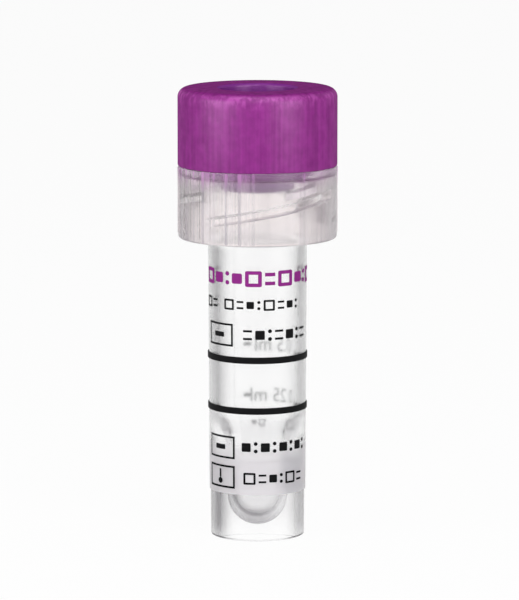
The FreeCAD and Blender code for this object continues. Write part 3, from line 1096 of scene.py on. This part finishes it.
stopper = turn("soft_stopper", [
    (0, SEPTUM_BOTTOM),
    (PLUG_HOLLOW_R, SEPTUM_BOTTOM),
    (PLUG_HOLLOW_R, PLUG_BOTTOM),
    (PLUG_TIP_R, PLUG_BOTTOM),
    (PLUG_R, PLUG_SHOULDER),
    (PLUG_R, TUBE_TOP + SEAT_GAP),
    (SEAT_R, TUBE_TOP + SEAT_GAP),
    (SEAT_R, RING_LIP_TOP + SEAT_GAP),
    (FLANGE_R, RING_LIP_TOP + SEAT_GAP),
    (FLANGE_R, WELL_FOOT - SEAT_GAP),
    (BOSS_R, WELL_FOOT - SEAT_GAP),
    (BOSS_R, BOSS_TOP),
    (DIMPLE_R, BOSS_TOP),
    (DIMPLE_R, SEPTUM_TOP),
    (0, SEPTUM_TOP),
])
soften(stopper, [
    (PLUG_HOLLOW_R, SEPTUM_BOTTOM, 0.5, 5),
    (PLUG_HOLLOW_R, PLUG_BOTTOM, 0.2, 3),
    (PLUG_TIP_R, PLUG_BOTTOM, 0.25, 4),
    (PLUG_R, PLUG_SHOULDER, 0.25, 4),
    (FLANGE_R, RING_LIP_TOP + SEAT_GAP, 0.15, 3),
    (FLANGE_R, WELL_FOOT - SEAT_GAP, 0.15, 3),
    (BOSS_R, BOSS_TOP, 0.2, 4),
    (DIMPLE_R, BOSS_TOP, 0.3, 4),
    (DIMPLE_R, SEPTUM_TOP, 0.6, 5),
])
smooth(stopper)
dress(stopper, RUBBER, "stopper", "purple_rubber", "stopper")

# %% [markdown]
# ## The label
# The label is a strip of film wrapped most of the way round. A flat strip could be
# bent with a modifier, but the tube tapers a little. So a full open band is pulled up
# on the taper, the gap at the back is deleted, and Solidify gives it its thickness.

# %% Model the label
GLUE_GAP = 0.02
LABEL_THICKNESS = 0.09
LABEL_START = -97
LABEL_SPAN = 312


def wrapped_angle(co, start):
    """Angle of a point measured from a start angle, from 0 to 360 degrees."""
    return (front_angle(co) - start) % 360


def point_outwards(sheet):
    """Turn an open sheet's faces over if the first one looks at the axis."""
    first = sheet.data.polygons[0]
    if first.normal.dot(Vector((first.center.x, first.center.y, 0))) < 0:
        sheet.data.flip_normals()


def band(name, start, span, bottom, top, lift, rows=1, sides=360):
    """Open strip that stands a little off the tube, kept only over one span."""
    heights = [bottom + (top - bottom) * i / rows for i in range(rows + 1)]
    bpy.ops.object.select_all(action="DESELECT")
    bpy.ops.mesh.primitive_circle_add(
        vertices=sides, radius=mm(tube_r(bottom) + lift), location=(0, 0, mm(bottom))
    )
    piece = bpy.context.object
    piece.name = name
    bpy.ops.object.transform_apply(location=True, rotation=True, scale=True)
    bpy.ops.object.mode_set(mode="EDIT")
    bpy.ops.mesh.select_mode(type="VERT")
    bpy.ops.mesh.select_all(action="SELECT")
    for low, high in zip(heights, heights[1:]):
        pull_ring((tube_r(low) + lift, low), (tube_r(high) + lift, high))
    bpy.ops.mesh.select_mode(type="FACE")
    bpy.ops.mesh.select_all(action="DESELECT")
    mesh = bmesh.from_edit_mesh(piece.data)
    for face in mesh.faces:
        face.select = wrapped_angle(face.calc_center_median(), start) > span
    bmesh.update_edit_mesh(piece.data)
    bpy.ops.mesh.delete(type="FACE")
    bpy.ops.mesh.select_all(action="SELECT")
    bpy.ops.mesh.normals_make_consistent(inside=False)
    bpy.ops.object.mode_set(mode="OBJECT")
    point_outwards(piece)
    return piece


def thicken(piece, thickness):
    """Give an open sheet a wall that grows outwards."""
    only(piece)
    bpy.ops.object.modifier_add(type="SOLIDIFY")
    wall = piece.modifiers[-1]
    wall.thickness = mm(thickness)
    wall.offset = 1
    bpy.ops.object.modifier_apply(modifier=wall.name)


label = band("clear_label", LABEL_START, LABEL_SPAN, LABEL_BOTTOM, LABEL_TOP, GLUE_GAP, rows=24)
thicken(label, LABEL_THICKNESS)
smooth(label)
dress(label, FILM, "tube", "label_film", "label")

# %% [markdown]
# ## The fill lines
# Each fill line is a thick arc of ink. It could be a stripe in the film's colour, but
# the real line stands proud of the outline. So it is a band like the label, with its
# outer edges bevelled to the crown that wet ink dries with.

# %% Model the fill lines
INK_LIFT = GLUE_GAP + LABEL_THICKNESS
FILL_START = -97
FILL_SPAN = 205
FILL_RELIEF = 0.10
FILL_CROWN = 0.08


def fill_line(node):
    """Thick printed arc at the height of its CAD node."""
    bottom, top = bottom_of(node), top_of(node)
    piece = band("printed_" + node, FILL_START, FILL_SPAN, bottom, top, INK_LIFT, sides=720)
    thicken(piece, FILL_RELIEF)
    outer = INK_LIFT + FILL_RELIEF
    soften(piece, [(tube_r(z) + outer, z, FILL_CROWN, 3) for z in (bottom, top)])
    smooth(piece, 50)
    dress(piece, BLACK, "tube", "black_ink", node)


for node in ("fill_line_upper", "fill_line_lower"):
    fill_line(node)

# %% [markdown]
# ## The printed marks
# A real label carries rows of print. Here they are plain shapes that say nothing:
# squares, small frames, dots and dashes, about as dense as print. They could be
# painted in the shader, but real edges stay crisp from close by. Each mark is a
# primitive stood upright in front of the tube, and a row is joined into one flat
# sheet. The sheet is cut into narrow strips and then rolled round the tube, which
# turns its distance along the row into an angle.

# %% Draw flat marks
ROW_GAP = 0.30
MARK_WIDTHS = {"square": 0.66, "frame": 1.0, "dots": 0.28, "dashes": 0.62}
PAIR_SPREAD = 0.28
BOX_STROKE = 0.20
DOT_SIDES = 20


def stand(x, z, wide, high):
    """Bring the mark just added to its size, upright at (x, z) in millimetres."""
    mark = bpy.context.object
    mark.rotation_euler = (math.radians(90), 0, 0)
    mark.scale = (mm(wide), mm(high), 1)
    mark.location = (mm(x), 0, mm(z))
    bpy.ops.object.transform_apply(location=True, rotation=True, scale=True)
    return mark


def plate(x, z, wide, high, rounding=0.0):
    """Solid rectangle, with its corners rounded by a vertex bevel."""
    bpy.ops.object.select_all(action="DESELECT")
    bpy.ops.mesh.primitive_plane_add(size=1, location=(0, 0, 0))
    mark = stand(x, z, wide, high)
    if rounding:
        bpy.ops.object.mode_set(mode="EDIT")
        bpy.ops.mesh.bevel(offset=mm(rounding), segments=4, affect="VERTICES")
        bpy.ops.object.mode_set(mode="OBJECT")
    return mark


def hollow(x, z, wide, high, stroke, rounding=0.0):
    """Rectangle with its middle inset and deleted."""
    mark = plate(x, z, wide, high, rounding)
    bpy.ops.object.mode_set(mode="EDIT")
    bpy.ops.mesh.select_mode(type="FACE")
    bpy.ops.mesh.inset(thickness=mm(stroke))
    bpy.ops.mesh.delete(type="FACE")
    bpy.ops.object.mode_set(mode="OBJECT")
    return mark


def dot(x, z, radius):
    """Round spot."""
    bpy.ops.object.select_all(action="DESELECT")
    bpy.ops.mesh.primitive_circle_add(
        vertices=DOT_SIDES, radius=1, fill_type="NGON", location=(0, 0, 0)
    )
    return stand(x, z, radius, radius)


def along(angle):
    """Distance along a flat row, in millimetres, for an angle from the front."""
    return math.radians(angle) * TUBE_FOOT_R


def row(shapes, start, end, bottom, top, stroke):
    """Shapes, taken in turn from a list, that fill the space between two angles."""
    marks = []
    middle, high = (bottom + top) / 2, top - bottom
    pair = [middle - PAIR_SPREAD * high, middle + PAIR_SPREAD * high]
    x = along(start)
    for shape in cycle(shapes):
        wide = MARK_WIDTHS[shape] * high
        if x + wide > along(end):
            return marks
        centre = x + wide / 2
        if shape == "square":
            marks.append(plate(centre, middle, wide, wide, stroke / 2))
        elif shape == "frame":
            marks.append(hollow(centre, middle, wide, high, stroke, stroke / 2))
        elif shape == "dots":
            marks += [dot(centre, z, wide / 2) for z in pair]
        else:
            marks += [plate(centre, z, wide, stroke) for z in pair]
        x += wide + ROW_GAP


def boxed(start, end, bottom, top):
    """Framed box from one angle to another."""
    middle = along((start + end) / 2)
    return hollow(middle, (bottom + top) / 2, along(end - start), top - bottom, BOX_STROKE)


print("marks to draw:", sorted(MARK_WIDTHS))

# %% Roll a sheet of marks round the tube
MARK_THICKNESS = 0.012
MARK_LIFT = 0.004
ROLL_STEP = 0.2


def rolled(name, marks, material, slot):
    """Join flat marks, cut them into strips and roll them onto the label."""
    bpy.ops.object.select_all(action="DESELECT")
    for mark in marks:
        mark.select_set(True)
    bpy.context.view_layer.objects.active = marks[0]
    if len(marks) > 1:
        bpy.ops.object.join()
    piece = bpy.context.object
    piece.name = name
    left = min(v.co.x for v in piece.data.vertices)
    right = max(v.co.x for v in piece.data.vertices)
    bpy.ops.object.mode_set(mode="EDIT")
    for i in range(1, int((right - left) / mm(ROLL_STEP)) + 1):
        bpy.ops.mesh.select_all(action="SELECT")
        bpy.ops.mesh.bisect(plane_co=(left + mm(ROLL_STEP) * i, 0, 0), plane_no=(1, 0, 0))
    bpy.ops.object.mode_set(mode="OBJECT")
    for vertex in piece.data.vertices:
        angle = vertex.co.x / mm(TUBE_FOOT_R)
        r = mm(tube_r(vertex.co.z / MM) + INK_LIFT + MARK_LIFT)
        vertex.co.x = r * math.sin(angle)
        vertex.co.y = -r * math.cos(angle)
    point_outwards(piece)
    thicken(piece, MARK_THICKNESS)
    dress(piece, material, "tube", slot)


BOLD = ["frame", "square", "dots", "square", "frame", "dashes", "frame", "square", "dots"]
PLAIN = ["frame", "dashes", "square", "dots"]
BLACK_ROWS = [
    # shapes, first and last angle, bottom, top, stroke
    (PLAIN, -80, -48, 23.40, 24.50, 0.20),
    (PLAIN, -42, 56, 23.40, 24.50, 0.20),
    (PLAIN[1:], -17, 76, 20.25, 21.65, 0.22),
    (PLAIN[2:], -19, 82, 8.90, 10.25, 0.22),
    (PLAIN, -17, 70, 5.80, 7.00, 0.20),
]
rolled("purple_row", row(BOLD, -80, 100, 25.8, 27.4, 0.36), PURPLE_INK, "purple_plastic")
rolled("black_rows", [mark for line in BLACK_ROWS for mark in row(*line)], BLACK, "black_ink")

# %% Boxed signs: a dash in two of them, and a post on a dot in the lowest
rolled("boxes", [
    boxed(-72, -30, 19.7, 22.0),
    boxed(-72, -28, 8.3, 10.6),
    boxed(-72, -28, 5.3, 7.6),
    plate(along(-51), 20.85, 1.35, 0.50, 0.1),
    plate(along(-50), 9.45, 1.35, 0.50, 0.1),
    plate(along(-50), 6.75, 0.22, 0.90, 0.08),
    dot(along(-50), 6.00, 0.30),
], BLACK, "black_ink")

# %% [markdown]
# ## Level marks on the back
# The back of the label says what level each fill line stands for. Seen through the
# tube from the front, these marks are faint and the wrong way round. Blender's own
# text is made a mesh and then rolled on like any other mark.

# %% Write the levels
LEVEL_TEXT = 2.1
LEVEL_ANGLE = 153
LEVEL_RISE = 0.25
DASH_TURN = 41
DASH_RISE = 0.7


def level_mark(text, node):
    """Text at the height of a fill line, with a dash after it."""
    z = bottom_of(node) + LEVEL_RISE
    bpy.ops.object.select_all(action="DESELECT")
    bpy.ops.object.text_add(location=(0, 0, 0))
    mark = bpy.context.object
    mark.data.body = text
    mark.data.align_x = "CENTER"
    mark.data.resolution_u = 3
    bpy.ops.object.convert(target="MESH")
    mark = stand(along(LEVEL_ANGLE), z, LEVEL_TEXT, LEVEL_TEXT)
    return [mark, plate(along(LEVEL_ANGLE + DASH_TURN), z + DASH_RISE, 0.9, 0.35)]


rolled("level_marks", (
    level_mark("0.5 ml", "fill_line_upper")
    + level_mark("0.25 ml", "fill_line_lower")
    + row(["frame", "square"], 166, 192, 9.0, 10.0, 0.18)
), FAINT, "black_ink")

# %% [markdown]
# ## The white studio
# The tube stands in a plain white studio: a wide pale floor and a white world. Rays
# that look straight at them, or by way of plastic or a gloss, see white. Everything
# else is lit at a plain level, so the floor still catches a soft shadow. A brighter
# world would give the white too, but it would wash out the purple.

# %% Floor and world
FLOOR_WHITE = (0.95, 0.95, 0.95)
SEEN_WHITE = 0.95
WORLD_LEVEL = 0.22
OVERHEAD = [(0.0, 1.0), (0.35, 1.0), (1.0, 0.25)]


def seen_straight(finish):
    """1 for rays from the camera, through plastic or off a gloss, and 0 for others."""
    through = finish.node("LightPath", output="Is Transmission Ray")
    gloss = finish.node("LightPath", output="Is Glossy Ray")
    return finish.node("LightPath", output="Is Camera Ray").at_least(through).at_least(gloss)


def floor_finish():
    """Pale floor that reads as white but keeps a soft shadow."""
    finish = Finish("floor")
    grain = finish.noise(40, detail=4)
    pale = finish.mix_colour(grain, FLOOR_WHITE, times(FLOOR_WHITE, 0.97))
    plain = finish.surface(Base_Color=pale, Roughness=0.9)
    white = finish.node("Emission", None, {"Color": (1, 1, 1), "Strength": 1.0})
    return finish.done(finish.mix(seen_straight(finish) * SEEN_WHITE, plain, white))


def studio_light(world):
    """White where it is seen, and a plain level of light that weakens overhead."""
    studio = Finish("studio", world)
    seen = seen_straight(studio)
    overhead = studio.ramp(studio.axis("Z", "Generated"), OVERHEAD)
    strength = seen + (1 - seen) * overhead * WORLD_LEVEL
    return studio.done(studio.node("Background", None, {"Color": (1, 1, 1), "Strength": strength}))


bpy.ops.object.select_all(action="DESELECT")
bpy.ops.mesh.primitive_plane_add(size=6, location=(0, 0, 0))
floor = bpy.context.object
floor.name = "floor"
floor.data.materials.append(floor_finish())
bpy.context.scene.world = studio_light(bpy.data.worlds.new("studio"))
print("floor and world ready")

# %% [markdown]
# ## Lamps
# Large soft lamps give a satin moulding wide, weak glints. One stands on each side for
# the cap's edges, and three are high up, for its front, its rounded rim and its top.
# Clear plastic would show them as bright squares, so rays through it don't see them.

# %% Lamps
LAMP_TARGET = 35
SOFTBOXES = [
    # name, angle from the front, height, distance, width and depth, watts
    ("left_box", -57, 0.085, 0.24, (0.20, 0.16), 0.33),
    ("right_box", 42, 0.085, 0.24, (0.15, 0.16), 0.25),
    ("front_box", -5, 0.40, 0.85, (0.5, 0.5), 0.62),
    ("high_box", 18, 0.42, 0.40, (0.40, 0.25), 0.72),
    ("top_box", 0, 0.45, 0.05, (0.30, 0.30), 0.45),
]


def softbox(name, angle, height, distance, size, power):
    """Rectangular lamp that looks at the cap, placed by its angle from the front."""
    target = Vector((0, 0, mm(LAMP_TARGET)))
    a = math.radians(angle)
    place = Vector((distance * math.sin(a), -distance * math.cos(a), height))
    bpy.ops.object.light_add(type="AREA", location=place)
    lamp = bpy.context.object
    lamp.name = name
    lamp.rotation_euler = (target - place).to_track_quat("-Z", "Y").to_euler()
    lamp.data.shape = "RECTANGLE"
    lamp.data.size, lamp.data.size_y = size
    lamp.data.energy = power
    lamp.visible_camera = False
    lamp.visible_transmission = False


for box in SOFTBOXES:
    softbox(*box)
print("lamps:", [box[0] for box in SOFTBOXES])

# %% [markdown]
# ## Camera
# A long lens half a metre away looks slightly down, as in a catalogue. A short lens
# close by would make the cap look too wide. Clear walls inside clear walls need many
# bounces, or their insides turn black.

# %% Camera
CAMERA_PLACE = (0, -0.4907, 0.0962)
CAMERA_PITCH = 8.395
LENS = 296.2
SENSOR = 36
SHIFT_X = 0.0033
CLEAR_BOUNCES = 24
GLOSS_BOUNCES = 8

bpy.ops.object.camera_add(
    location=CAMERA_PLACE, rotation=(math.radians(90 - CAMERA_PITCH), 0, 0)
)
camera = bpy.context.object
camera.data.lens = LENS
camera.data.sensor_width = SENSOR
camera.data.shift_x = SHIFT_X
camera.data.clip_start = 0.01
scene = bpy.context.scene
scene.camera = camera
scene.view_settings.view_transform = "Standard"
scene.cycles.max_bounces = CLEAR_BOUNCES
scene.cycles.transmission_bounces = CLEAR_BOUNCES
scene.cycles.glossy_bounces = GLOSS_BOUNCES
print("camera at", CAMERA_PLACE)
